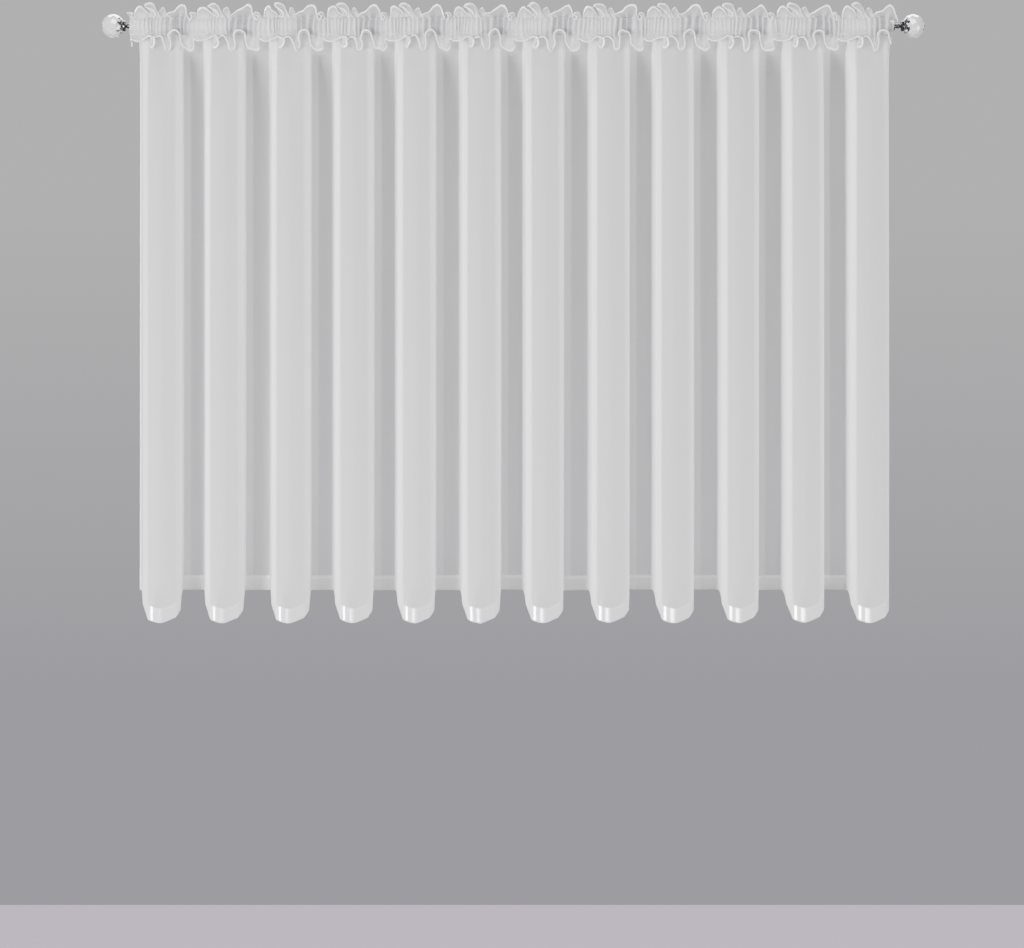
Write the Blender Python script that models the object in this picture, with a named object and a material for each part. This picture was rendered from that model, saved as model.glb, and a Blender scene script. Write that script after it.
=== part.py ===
"""A short sheer curtain, gathered on a rod with cut-glass ball finials.

Metres, +Z up, the room side is -Y. The origin is on the rod's axis, at the middle of its length.
The cloth is laid out along its own flat width: a plan line is walked at a steady pace, so that
every fold uses the length of cloth that it really takes.
"""

import math
from collections import namedtuple

import bmesh
import bpy
import numpy as np

# Rod and finials
ROD_RADIUS = 0.0125
ROD_HALF_LENGTH = 0.9215
ROUND_SIDES = 32
SEAT_GAP = 0.0003
BALL_RADIUS = 0.0288
BALL_FLAT_FROM_CENTRE = 0.0225
BALL_SIDES = 10
BALL_RING_ANGLES = (24.0, 50.0, 76.0, 102.0)
NeckRing = namedtuple("NeckRing", "out radius")
NECK_PROFILE = (
    NeckRing(0.0000, 0.0122),
    NeckRing(0.0026, 0.0122),
    NeckRing(0.0040, 0.0084),
    NeckRing(0.0056, 0.0112),
    NeckRing(0.0090, 0.0120),
    NeckRing(0.0124, 0.0112),
    NeckRing(0.0142, 0.0074),
    NeckRing(0.0164, 0.0074),
    NeckRing(0.0172, 0.0136),
    NeckRing(0.0228, 0.0138),
    NeckRing(0.0240, 0.0116),
)

# Where the three layers of cloth are sewn together, above and below the rod
UPPER_SEAM_Z = 0.0187
LOWER_SEAM_Z = -0.0250
CLOTH_SHIFT_X = 0.0035
STEP = 0.0005

# Panel
PANEL_THICKNESS = 0.0012
HEM_THICKNESS = 0.0020
HEM_HEIGHT = 0.034
HEM_STEP = 0.002
FRONT_HEM_Z = -1.443
HEM_RISE = 0.070
LEFT_WALL = 0.1090
LEFT_WALL_ANGLE = 81.0
FRONT_SLOPE = 0.0430
FRONT_SLOPE_ANGLE = -29.0
RIGHT_WALL = 0.0870
RIGHT_WALL_ANGLE = -80.5
CORNER_ARC = 0.026
CORNER_REACH = 0.8
NOMINAL_FLAT = 0.040

# Visible widths of each fold's front and of the recess to its right
Fold = namedtuple("Fold", "front recess")
FOLDS = (
    Fold(0.1030, 0.0490),
    Fold(0.1020, 0.0578),
    Fold(0.1020, 0.0512),
    Fold(0.1016, 0.0498),
    Fold(0.1002, 0.0556),
    Fold(0.1020, 0.0518),
    Fold(0.1020, 0.0568),
    Fold(0.1022, 0.0534),
    Fold(0.1014, 0.0570),
    Fold(0.1014, 0.0550),
    Fold(0.1010, 0.0547),
    Fold(0.1030, 0.0000),
)

# Heights down the panel, and how far forward and back its folds reach there
PanelRow = namedtuple("PanelRow", "z front back")
PANEL_ROWS = (
    PanelRow(UPPER_SEAM_Z, -0.0007, -0.0007),
    PanelRow(0.0000, -0.0190, -0.0190),
    PanelRow(LOWER_SEAM_Z - 0.0015, -0.0007, -0.0007),
    PanelRow(-0.0460, -0.0030, 0.0140),
    PanelRow(-0.0640, -0.0070, 0.0310),
    PanelRow(-0.1100, -0.0300, 0.0460),
    PanelRow(-0.2000, -0.0500, 0.0540),
    PanelRow(-0.8000, -0.0540, 0.0530),
)
HEM_ROW_FRONT = -0.0545
HEM_ROW_BACK = 0.0535

# Frill: one strip across the front of the rod, free along its top and bottom edges
FRILL_THICKNESS = 0.0010
FRILL_LENGTH = 3.980
FRILL_HALF_WIDTH = 0.9180
FRILL_TILES = 12
FRILL_STATIONS_PER_TILE = 26
FRILL_UPPER_FREE = 0.0385
FRILL_LOWER_FREE = 0.0350
FRILL_SEAM_Y = -0.0042
FRILL_ROD_Y = -0.0225
FRILL_LOWER_LEAN = -0.0205
SEAM_PLEAT = 0.0022
ROD_PLEAT = 0.0050
LEAST_UPRIGHT = 0.30

# Each loop of the frill's edge: its share of a tile's cloth, how far the edge turns, how far it flops
Loop = namedtuple("Loop", "share swing lean")
UPPER_LOOPS = (
    Loop(0.215, 92.0, -0.008),
    Loop(0.190, 104.0, 0.006),
    Loop(0.150, 84.0, 0.012),
    Loop(0.285, 88.0, -0.017),
    Loop(0.160, 96.0, -0.026),
)
LOWER_LOOPS = (
    Loop(0.170, 92.0, 0.004),
    Loop(0.180, 98.0, -0.006),
    Loop(0.190, 88.0, -0.010),
    Loop(0.210, 84.0, -0.004),
    Loop(0.250, 96.0, 0.006),
)

# Gathering tape: the strip that closes the tunnel behind the rod
TAPE_THICKNESS = 0.0010
TAPE_HALF_WIDTH = 0.9090
TAPE_TOP_Z = 0.0210
TAPE_BOTTOM_Z = -0.0258
TAPE_SEAM_Y = 0.0007
TAPE_ROD_Y = 0.0180
TAPE_PLEATS = 60
TAPE_STATIONS_PER_PLEAT = 3
TAPE_PLEAT = 0.0030


def clear_scene():
    """Removes every object that the file opened with."""
    for obj in list(bpy.data.objects):
        bpy.data.objects.remove(obj, do_unlink=True)


def material(name, colour, roughness, metallic=0.0, alpha=1.0):
    """A Principled material in one plain colour."""
    made = bpy.data.materials.new(name)
    made.use_nodes = True
    shader = made.node_tree.nodes["Principled BSDF"]
    shader.inputs["Base Color"].default_value = (*colour, 1.0)
    shader.inputs["Roughness"].default_value = roughness
    shader.inputs["Metallic"].default_value = metallic
    shader.inputs["Alpha"].default_value = alpha
    return made


def add_object(name, mesh, finish):
    """Links a mesh as a named object in its finish."""
    mesh.materials.append(finish)
    obj = bpy.data.objects.new(name, mesh)
    bpy.context.scene.collection.objects.link(obj)
    return obj


def smooth_step(t):
    """0 before 0, 1 after 1, and an even S between."""
    t = np.clip(t, 0.0, 1.0)
    return t * t * (3.0 - 2.0 * t)


def walk(heading, length):
    """Walks at a steady pace, facing heading(s) radians from +X, and returns s, x and forward."""
    s = np.arange(0.0, length + STEP, STEP)
    turn = heading(s)
    x = np.concatenate([[0.0], np.cumsum(0.5 * (np.cos(turn[1:]) + np.cos(turn[:-1])) * STEP)])
    forward = np.concatenate([[0.0], np.cumsum(0.5 * (np.sin(turn[1:]) + np.sin(turn[:-1])) * STEP)])
    return s, x, forward


def stretch_heading(stretches):
    """The heading along straight stretches of (length, degrees), with rounded corners between."""
    corners = np.cumsum([length for length, _ in stretches])[:-1]
    angles = np.radians([angle for _, angle in stretches])

    def heading(s):
        turn = np.full_like(s, angles[0])
        for corner, before, after in zip(corners, angles, angles[1:]):
            turn = turn + (after - before) * smooth_step((s - corner) / CORNER_ARC + 0.5)
        return turn

    return heading


def fold_stretches():
    """The stretches of cloth in every fold, with the flats sized to give the visible widths."""
    recess = NOMINAL_FLAT
    trial = [
        (recess, 0.0),
        (LEFT_WALL, LEFT_WALL_ANGLE),
        (NOMINAL_FLAT, 0.0),
        (FRONT_SLOPE, FRONT_SLOPE_ANGLE),
        (RIGHT_WALL, RIGHT_WALL_ANGLE),
        (recess, 0.0),
    ]
    length = sum(stretch for stretch, _ in trial)
    _, x, forward = walk(stretch_heading(trial), length)
    spare = x[-1] - 2.0 * recess - NOMINAL_FLAT
    right_wall = RIGHT_WALL + forward[-1] / math.sin(math.radians(-RIGHT_WALL_ANGLE))
    spare += (right_wall - RIGHT_WALL) * math.cos(math.radians(RIGHT_WALL_ANGLE))
    stretches = []
    for fold in FOLDS:
        stretches += [
            (LEFT_WALL, LEFT_WALL_ANGLE),
            (fold.front - spare, 0.0),
            (FRONT_SLOPE, FRONT_SLOPE_ANGLE),
            (right_wall, RIGHT_WALL_ANGLE),
            (fold.recess, 0.0),
        ]
    return stretches[:-1]


def corner_stations(stretches):
    """Places along the cloth where the plan needs a point: the ends, and the turn of each corner."""
    corners = np.cumsum([length for length, _ in stretches])
    reach = 0.5 * CORNER_ARC * CORNER_REACH
    stations = [0.0]
    for index, corner in enumerate(corners[:-1]):
        stretch = index % 5
        on_front = stretch < 3
        stations += [corner - reach, corner, corner + reach] if on_front else [corner - reach, corner + reach]
    stations.append(corners[-1])
    return np.array(stations)


def grid_mesh(name, rows):
    """A sheet of quads through rows of points, each row an array of the same length."""
    points = np.stack(rows)
    count_down, count_along = points.shape[:2]
    index = np.arange(count_down * count_along).reshape(count_down, count_along)
    faces = np.stack(
        [index[1:, :-1], index[1:, 1:], index[:-1, 1:], index[:-1, :-1]], axis=-1
    ).reshape(-1, 4)
    mesh = bpy.data.meshes.new(name)
    mesh.from_pydata(points.reshape(-1, 3).tolist(), [], faces.tolist())
    mesh.update()
    return mesh


def thicken(obj, thickness, group=None, least=1.0):
    """Gives a sheet its thickness, half to each side, thinner where the vertex group is weak."""
    solidify = obj.modifiers.new("cloth_thickness", "SOLIDIFY")
    solidify.thickness = thickness
    solidify.offset = 0.0
    if group:
        solidify.vertex_group = group
        solidify.thickness_vertex_group = least
    return solidify


def row_points(x, y, z):
    """A row of points from arrays or single values."""
    return np.stack(np.broadcast_arrays(x, y, z), axis=-1)


def panel(finish):
    """The voile panel: sewn flat across the rod, then open in deep folds down to a turned hem."""
    stretches = fold_stretches()
    s, x, forward = walk(stretch_heading(stretches), sum(length for length, _ in stretches))
    stations = corner_stations(stretches)
    x = np.interp(stations, s, x)
    share = np.interp(stations, s, forward / forward.max())
    x = x - 0.5 * x[-1] + CLOTH_SHIFT_X
    hem_z = FRONT_HEM_Z + HEM_RISE * (1.0 - share)
    rows = [row_points(x, row.back + share * (row.front - row.back), row.z) for row in PANEL_ROWS]
    hem_y = HEM_ROW_BACK + share * (HEM_ROW_FRONT - HEM_ROW_BACK)
    for above in (HEM_HEIGHT + HEM_STEP, HEM_HEIGHT, 0.0):
        rows.append(row_points(x, hem_y, hem_z + above))
    obj = add_object("voile_panel", grid_mesh("voile_panel", rows), finish)
    hem = obj.vertex_groups.new(name="hem")
    first_hem_point = (len(rows) - 2) * len(x)
    hem.add(list(range(first_hem_point, len(rows) * len(x))), 1.0, "REPLACE")
    thicken(obj, HEM_THICKNESS, "hem", PANEL_THICKNESS / HEM_THICKNESS)
    return obj


def loop_heading(loops, tile):
    """The heading along a frilled edge: a sine of the cloth's length in each loop."""
    ends = np.cumsum([loop.share for loop in loops]) * tile
    starts = np.concatenate([[0.0], ends[:-1]])

    def heading(s):
        along = np.mod(s, tile)
        which = np.clip(np.searchsorted(ends, along, side="right"), 0, len(loops) - 1)
        swing = np.radians([loop.swing for loop in loops])[which]
        return swing * np.sin(2.0 * math.pi * (along - starts[which]) / (ends - starts)[which])

    return heading


def loop_lean(loops, tile, s):
    """How far forward (-Y) the edge flops, eased from the middle of one loop to the next."""
    ends = np.cumsum([loop.share for loop in loops]) * tile
    middles = ends - 0.5 * tile * np.array([loop.share for loop in loops])
    leans = np.array([loop.lean for loop in loops])
    return np.interp(np.mod(s, tile), middles, leans, period=tile)


def edge_line(loops, stations):
    """A frilled edge in plan: x stretched to the hung width, and y about the seam."""
    tile = FRILL_LENGTH / FRILL_TILES
    s, x, forward = walk(loop_heading(loops, tile), FRILL_LENGTH)
    x = np.interp(stations, s, x)
    forward = np.interp(stations, s, forward)
    x = (x / x[-1] * 2.0 - 1.0) * FRILL_HALF_WIDTH + CLOTH_SHIFT_X
    return x, np.mean(forward) - forward + loop_lean(loops, tile, stations)


def frill(finish):
    """The gathered strip: sewn above and below the rod, its two free edges opening into loops."""
    tile = FRILL_LENGTH / FRILL_TILES
    stations = np.linspace(0.0, FRILL_LENGTH, FRILL_TILES * FRILL_STATIONS_PER_TILE + 1)
    seam_x = (stations / FRILL_LENGTH * 2.0 - 1.0) * FRILL_HALF_WIDTH + CLOTH_SHIFT_X
    pleat = 0.5 - 0.5 * np.cos(2.0 * math.pi * stations / tile * len(UPPER_LOOPS))
    upper_x, upper_y = edge_line(UPPER_LOOPS, stations)
    lower_x, lower_y = edge_line(LOWER_LOOPS, stations)
    lower_y = lower_y + FRILL_LOWER_LEAN
    upper_rise = upright(FRILL_UPPER_FREE, upper_x - seam_x, upper_y)
    lower_drop = upright(FRILL_LOWER_FREE, lower_x - seam_x, lower_y)
    seam_y = FRILL_SEAM_Y - SEAM_PLEAT * pleat
    rows = [
        row_points(upper_x, FRILL_SEAM_Y + upper_y, UPPER_SEAM_Z + upper_rise),
        row_points(seam_x, seam_y, UPPER_SEAM_Z),
        row_points(seam_x, FRILL_ROD_Y - ROD_PLEAT * pleat, 0.0),
        row_points(seam_x, seam_y, LOWER_SEAM_Z),
        row_points(lower_x, FRILL_SEAM_Y + lower_y, LOWER_SEAM_Z - lower_drop),
    ]
    obj = add_object("heading_frill", grid_mesh("heading_frill", rows), finish)
    thicken(obj, FRILL_THICKNESS)
    return obj


def upright(free, aside, forward):
    """How high a free edge of that length stands once it has flopped aside and forward."""
    flat_share = np.sqrt(aside**2 + forward**2) / free
    return free * np.maximum(np.sqrt(np.clip(1.0 - flat_share**2, 0.0, 1.0)), LEAST_UPRIGHT)


def tape(finish):
    """The gathering tape: sewn at both seams, bowed back round the rod in small pleats."""
    stations = np.linspace(-1.0, 1.0, TAPE_PLEATS * TAPE_STATIONS_PER_PLEAT + 1)
    x = stations * TAPE_HALF_WIDTH + CLOTH_SHIFT_X
    pleat = 0.5 - 0.5 * np.cos(math.pi * (stations + 1.0) * TAPE_PLEATS)
    rows = [
        row_points(x, TAPE_SEAM_Y, TAPE_TOP_Z),
        row_points(x, TAPE_ROD_Y + TAPE_PLEAT * pleat, 0.0),
        row_points(x, TAPE_SEAM_Y, TAPE_BOTTOM_Z),
    ]
    obj = add_object("gathering_tape", grid_mesh("gathering_tape", rows), finish)
    thicken(obj, TAPE_THICKNESS)
    return obj


def turned_mesh(name, rings, side, sides, turn_step=0.0):
    """A closed shape of rings (distance out along X, radius), each turned by turn_step from the last."""
    work = bmesh.new()
    loops = []
    for index, (out, radius) in enumerate(rings):
        angles = 2.0 * math.pi * (np.arange(sides) + 0.5 + index * turn_step) / sides
        loops.append([work.verts.new((side * out, radius * math.cos(a), radius * math.sin(a))) for a in angles])
    for near, far in zip(loops, loops[1:]):
        for i in range(sides):
            j = (i + 1) % sides
            if turn_step:
                work.faces.new((near[i], near[j], far[i]))
                work.faces.new((near[j], far[j], far[i]))
            else:
                work.faces.new((near[i], near[j], far[j], far[i]))
    work.faces.new(loops[0])
    work.faces.new(loops[-1])
    bmesh.ops.recalc_face_normals(work, faces=work.faces)
    mesh = bpy.data.meshes.new(name)
    work.to_mesh(mesh)
    work.free()
    return mesh


def rod(finish):
    """The plain round rod, between the two finial necks."""
    rings = [(-ROD_HALF_LENGTH, ROD_RADIUS), (ROD_HALF_LENGTH, ROD_RADIUS)]
    mesh = turned_mesh("rod", rings, 1, ROUND_SIDES)
    mesh.shade_smooth()
    mesh.set_sharp_from_angle(angle=math.radians(30.0))
    return add_object("rod", mesh, finish)


def finial(side, end, metal, glass):
    """A turned neck on the rod's end, and the faceted ball that it carries."""
    start = ROD_HALF_LENGTH + SEAT_GAP
    neck = turned_mesh("neck", [(start + ring.out, ring.radius) for ring in NECK_PROFILE], side, ROUND_SIDES)
    neck.shade_smooth()
    neck.set_sharp_from_angle(angle=math.radians(40.0))
    add_object("finial_neck_" + end, neck, metal)
    centre = start + NECK_PROFILE[-1].out + SEAT_GAP + BALL_FLAT_FROM_CENTRE
    rings = [
        (centre + BALL_RADIUS * math.cos(math.radians(a)), BALL_RADIUS * math.sin(math.radians(a)))
        for a in BALL_RING_ANGLES
    ]
    rings.append((centre - BALL_FLAT_FROM_CENTRE, math.sqrt(BALL_RADIUS**2 - BALL_FLAT_FROM_CENTRE**2)))
    ball = turned_mesh("ball", rings, side, BALL_SIDES, turn_step=0.5)
    add_object("finial_ball_" + end, ball, glass)


def main():
    """Builds the curtain, its rod and its finials."""
    clear_scene()
    voile = material("voile", (0.86, 0.86, 0.88), 0.85, alpha=0.6)
    tape_cloth = material("tape_cloth", (0.82, 0.81, 0.88), 0.80)
    steel = material("polished_steel", (0.62, 0.62, 0.64), 0.18, metallic=1.0)
    glass = material("cut_glass", (0.92, 0.93, 0.95), 0.03, alpha=0.5)
    rod(steel)
    for side, end in ((-1, "left"), (1, "right")):
        finial(side, end, steel, glass)
    panel(voile)
    frill(voile)
    tape(tape_cloth)


main()
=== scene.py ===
"""A short sheer curtain on a rod: voile panel, gathered frill heading, tape, rod and cut-glass finials.

Each cloth is worked out with numpy as a function of two parameters: how far along the cloth's own width a
thread lies, and how far down its length. The room side is -Y, and the origin is on the rod's axis.
"""

import logging
import math
from dataclasses import dataclass, field, replace
from enum import Enum
from typing import Any, NamedTuple, Sequence

import bpy
import numpy as np
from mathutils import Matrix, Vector


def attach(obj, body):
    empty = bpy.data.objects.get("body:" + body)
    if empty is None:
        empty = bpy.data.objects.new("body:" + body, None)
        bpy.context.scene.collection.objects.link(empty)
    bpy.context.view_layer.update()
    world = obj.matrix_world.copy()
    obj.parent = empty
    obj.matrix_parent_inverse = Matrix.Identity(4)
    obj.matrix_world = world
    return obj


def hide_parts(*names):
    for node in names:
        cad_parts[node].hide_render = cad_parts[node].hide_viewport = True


log = logging.getLogger("sheer_curtain")
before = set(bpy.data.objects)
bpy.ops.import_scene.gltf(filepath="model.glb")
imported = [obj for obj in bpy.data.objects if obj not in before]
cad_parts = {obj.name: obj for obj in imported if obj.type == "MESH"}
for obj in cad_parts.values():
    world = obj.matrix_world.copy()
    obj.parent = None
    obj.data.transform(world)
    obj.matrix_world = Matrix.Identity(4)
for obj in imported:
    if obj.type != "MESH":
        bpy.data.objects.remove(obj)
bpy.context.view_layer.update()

BODY = "root"
SEED = 20461
ROLL_COVER = 0.97
PIXEL = 0.0024213
UPPER_SEAM_Z = 0.0187
LOWER_SEAM_Z = -0.0215
CLOTH_SHIFT_X = 0.0035
SLANT_EASE = 0.6
CURVE_STEPS = 24
PANEL_ROLL_TURNS = np.linspace(0.4, 5.2, 6)
FRILL_ROLL_TURNS = np.linspace(0.5, 5.4, 6)


class Slot(Enum):
    """The material slots."""

    VOILE = "voile"
    TAPE = "tape_cloth"
    STEEL = "polished_steel"
    GLASS = "cut_glass"


class Hold(Enum):
    """How a sheet of cloth is held up."""

    HUNG = "hung"
    GATHERED = "gathered"


class Fold(NamedTuple):
    """One deep fold: the width of its front as seen, and of the recess to its right, in metres."""

    front: float
    recess: float


FOLDS: tuple[Fold, ...] = (
    Fold(0.1030, 0.0490),
    Fold(0.1020, 0.0578),
    Fold(0.1020, 0.0512),
    Fold(0.1016, 0.0498),
    Fold(0.1002, 0.0556),
    Fold(0.1020, 0.0518),
    Fold(0.1020, 0.0568),
    Fold(0.1022, 0.0534),
    Fold(0.1014, 0.0570),
    Fold(0.1014, 0.0550),
    Fold(0.1010, 0.0547),
    Fold(0.1030, 0.0000),
)


class Stretch(NamedTuple):
    """A straight stretch of the panel's plan.

    Its length in metres, its heading in degrees from +X towards the room, how much cloth the corner
    before it bends over, and how deep in the fold's shade it lies, from 0 to 1.
    """

    length: float
    angle: float
    corner: float
    shade: float


class Walk(NamedTuple):
    """The plan walked at even steps: distance along the cloth, x, how far forward, and shade."""

    s: np.ndarray
    x: np.ndarray
    forward: np.ndarray
    shade: np.ndarray


class PanelRow(NamedTuple):
    """A height down the panel, and how far forward and back its folds reach there, in metres."""

    z: float
    front: float
    back: float


PANEL_ROWS: tuple[PanelRow, ...] = (
    PanelRow(UPPER_SEAM_Z, -0.0007, -0.0007),
    PanelRow(0.0000, -0.0190, -0.0190),
    PanelRow(LOWER_SEAM_Z - 0.0015, -0.0007, -0.0007),
    PanelRow(-0.0440, -0.0030, 0.0140),
    PanelRow(-0.0640, -0.0070, 0.0310),
    PanelRow(-0.1100, -0.0300, 0.0460),
    PanelRow(-0.2000, -0.0500, 0.0540),
    PanelRow(-0.8000, -0.0540, 0.0530),
    PanelRow(-1.5000, -0.0545, 0.0535),
)


class RowBand(NamedTuple):
    """A band of the panel's face: where it starts and stops below the seam, in metres, and its rows."""

    start: float
    stop: float
    rows: int


ROW_BANDS: tuple[RowBand, ...] = (
    RowBand(0.0, 0.060, 12),
    RowBand(0.060, 0.240, 16),
    RowBand(0.240, 1.340, 30),
)
LOW_BAND = RowBand(1.340, 1.424, 9)
HEM_TOP_DOWN = 1.425


class EdgePoint(NamedTuple):
    """A point of the frill's free edge within one fold, in metres: x from the fold's left side, z, y."""

    x: float
    z: float
    y: float


UPPER_EDGE: tuple[EdgePoint, ...] = (
    EdgePoint(-0.014, 0.019, -0.005),
    EdgePoint(-0.012, 0.031, -0.013),
    EdgePoint(-0.007, 0.043, -0.017),
    EdgePoint(0.001, 0.046, -0.018),
    EdgePoint(0.009, 0.041, -0.017),
    EdgePoint(0.016, 0.034, -0.014),
    EdgePoint(0.023, 0.027, -0.010),
    EdgePoint(0.032, 0.022, -0.007),
    EdgePoint(0.037, 0.027, -0.005),
    EdgePoint(0.029, 0.036, -0.005),
    EdgePoint(0.018, 0.044, -0.004),
    EdgePoint(0.012, 0.050, 0.001),
    EdgePoint(0.015, 0.055, 0.005),
    EdgePoint(0.024, 0.057, 0.007),
    EdgePoint(0.035, 0.053, 0.007),
    EdgePoint(0.042, 0.043, 0.005),
    EdgePoint(0.044, 0.030, 0.002),
    EdgePoint(0.045, 0.023, 0.004),
    EdgePoint(0.047, 0.038, 0.009),
    EdgePoint(0.054, 0.047, 0.012),
    EdgePoint(0.061, 0.042, 0.011),
    EdgePoint(0.064, 0.031, 0.008),
    EdgePoint(0.062, 0.024, 0.003),
    EdgePoint(0.066, 0.029, -0.003),
    EdgePoint(0.073, 0.032, -0.007),
    EdgePoint(0.084, 0.036, -0.011),
    EdgePoint(0.094, 0.045, -0.014),
    EdgePoint(0.105, 0.050, -0.016),
    EdgePoint(0.113, 0.045, -0.017),
    EdgePoint(0.117, 0.031, -0.017),
    EdgePoint(0.121, 0.018, -0.018),
    EdgePoint(0.127, 0.009, -0.023),
    EdgePoint(0.129, 0.020, -0.010),
    EdgePoint(0.121, 0.030, 0.002),
    EdgePoint(0.127, 0.035, 0.008),
    EdgePoint(0.136, 0.031, 0.008),
    EdgePoint(0.139, 0.022, 0.002),
)

LOWER_EDGE: tuple[EdgePoint, ...] = (
    EdgePoint(-0.015, -0.036, -0.014),
    EdgePoint(-0.005, -0.038, -0.015),
    EdgePoint(0.007, -0.035, -0.015),
    EdgePoint(0.017, -0.030, -0.014),
    EdgePoint(0.025, -0.026, -0.017),
    EdgePoint(0.033, -0.028, -0.021),
    EdgePoint(0.037, -0.039, -0.022),
    EdgePoint(0.034, -0.051, -0.020),
    EdgePoint(0.028, -0.055, -0.015),
    EdgePoint(0.024, -0.046, -0.010),
    EdgePoint(0.030, -0.034, -0.008),
    EdgePoint(0.042, -0.027, -0.012),
    EdgePoint(0.052, -0.028, -0.018),
    EdgePoint(0.058, -0.039, -0.021),
    EdgePoint(0.061, -0.054, -0.020),
    EdgePoint(0.065, -0.061, -0.016),
    EdgePoint(0.070, -0.058, -0.012),
    EdgePoint(0.075, -0.056, -0.013),
    EdgePoint(0.078, -0.044, -0.019),
    EdgePoint(0.075, -0.031, -0.025),
    EdgePoint(0.074, -0.021, -0.029),
    EdgePoint(0.079, -0.015, -0.031),
    EdgePoint(0.088, -0.013, -0.032),
    EdgePoint(0.096, -0.017, -0.031),
    EdgePoint(0.100, -0.031, -0.026),
    EdgePoint(0.102, -0.044, -0.020),
    EdgePoint(0.107, -0.053, -0.016),
    EdgePoint(0.117, -0.058, -0.013),
    EdgePoint(0.128, -0.061, -0.012),
    EdgePoint(0.133, -0.054, -0.011),
    EdgePoint(0.131, -0.043, -0.009),
    EdgePoint(0.130, -0.035, -0.008),
    EdgePoint(0.135, -0.031, -0.010),
)


class NeckRing(NamedTuple):
    """A ring of the turned finial neck: distance out from the rod's end, and radius, in metres."""

    out: float
    radius: float


def smooth_step(t: np.ndarray) -> np.ndarray:
    """0 before 0, 1 after 1, and an even S between."""
    t = np.clip(t, 0.0, 1.0)
    return t * t * (3.0 - 2.0 * t)


def unit(vectors: np.ndarray) -> np.ndarray:
    """The vectors, each at length one."""
    return vectors / np.maximum(np.linalg.norm(vectors, axis=-1, keepdims=True), 1e-9)


def slow_noise(rng: np.random.Generator, where: np.ndarray, pitch: float) -> np.ndarray:
    """Smooth random values of about -1 to 1 along a line.

    Args:
        rng: The source of the draws.
        where: Distances along the line, in metres.
        pitch: Distance between one draw and the next.

    Returns:
        One value for each distance: draws at even steps, eased from each to the next.
    """
    steps = (where - where.min()) / pitch
    draws = rng.uniform(-1.0, 1.0, int(steps.max()) + 2)
    base = np.floor(steps).astype(int)
    ease = smooth_step(steps - base)
    return draws[base] * (1.0 - ease) + draws[base + 1] * ease


def closed_curve(points: np.ndarray, period: float, count: int) -> np.ndarray:
    """A smooth curve through one period's points, evenly spaced along its length.

    Args:
        points: Control points (n, 3); the next period's are these moved by period along X.
        period: The move from one period to the next, in metres.
        count: How many points the result has, the next period's first one left out.

    Returns:
        Points (count, 3) on the Catmull-Rom curve: each span is a cubic between two control points
        whose slopes are half the way from the one before to the one after.
    """
    shift = np.array([period, 0.0, 0.0])
    ring = np.concatenate([points[-1:] - shift, points, points[:2] + shift])
    t = np.linspace(0.0, 1.0, CURVE_STEPS, endpoint=False)[None, :, None]
    p0, p1, p2, p3 = (ring[i : i + len(points), None, :] for i in range(4))
    fine = 0.5 * (
        2.0 * p1
        + (p2 - p0) * t
        + (2.0 * p0 - 5.0 * p1 + 4.0 * p2 - p3) * t**2
        + (3.0 * p1 - p0 - 3.0 * p2 + p3) * t**3
    )
    fine = np.concatenate([fine.reshape(-1, 3), points[:1] + shift])
    along = np.concatenate([[0.0], np.cumsum(np.linalg.norm(np.diff(fine, axis=0), axis=1))])
    wanted = np.linspace(0.0, along[-1], count, endpoint=False)
    return np.stack([np.interp(wanted, along, fine[:, axis]) for axis in range(3)], axis=-1)


def grid_normals(points: np.ndarray) -> np.ndarray:
    """The normals of a grid: the step down crossed with the step along.

    Args:
        points: The grid (rows, columns, 3).

    Returns:
        A unit vector for each point.
    """
    down = np.gradient(points, axis=0)
    along = np.gradient(points, axis=1)
    return unit(np.cross(down, along))


def rolled_edge(edge: np.ndarray, inward: np.ndarray, radius: float, turns: np.ndarray) -> np.ndarray:
    """The narrow roll that finishes a free edge.

    Args:
        edge: The edge's points (columns, 3).
        inward: For each, the way from the edge back into the cloth.
        radius: The roll's radius in metres.
        turns: The angles of the roll's rows, in radians.

    Returns:
        Rows (turns, columns, 3): each point goes round a circle that touches the cloth at its edge.
    """
    tangent = unit(np.gradient(edge, axis=0))
    outward = -inward + tangent * np.sum(inward * tangent, axis=-1, keepdims=True)
    outward = unit(outward)
    side = unit(np.cross(outward, tangent))
    turn = turns[:, None, None]
    return edge + radius * (outward * np.sin(turn) + side * (1.0 - np.cos(turn)))


def mesh_object(
    name: str,
    points: np.ndarray,
    faces: list[list[int]],
    uv: np.ndarray | None = None,
    values: dict[str, np.ndarray] | None = None,
    smooth: bool = True,
) -> bpy.types.Object:
    """A mesh object linked to the scene.

    Args:
        name: The piece's name.
        points: Its points (n, 3), in metres.
        faces: For each face, the indices of its points.
        uv: Where each point lies on the flat cloth, in metres (n, 2).
        values: Named numbers for each point, which the finish reads.
        smooth: Whether the faces shade smoothly.

    Returns:
        The new object, unmoved and unturned.
    """
    mesh = bpy.data.meshes.new(name)
    mesh.from_pydata(points.tolist(), [], faces)
    if uv is not None:
        loops = np.empty(len(mesh.loops), dtype=np.int32)
        mesh.loops.foreach_get("vertex_index", loops)
        layer = mesh.uv_layers.new(name="cloth")
        layer.data.foreach_set("uv", uv[loops].astype(np.float32).ravel())
    for key, numbers in (values or {}).items():
        attribute = mesh.attributes.new(key, "FLOAT", "POINT")
        attribute.data.foreach_set("value", numbers.astype(np.float32).ravel())
    mesh.polygons.foreach_set("use_smooth", np.full(len(mesh.polygons), smooth))
    mesh.update()
    obj = bpy.data.objects.new(name, mesh)
    bpy.context.scene.collection.objects.link(obj)
    return obj


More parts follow.
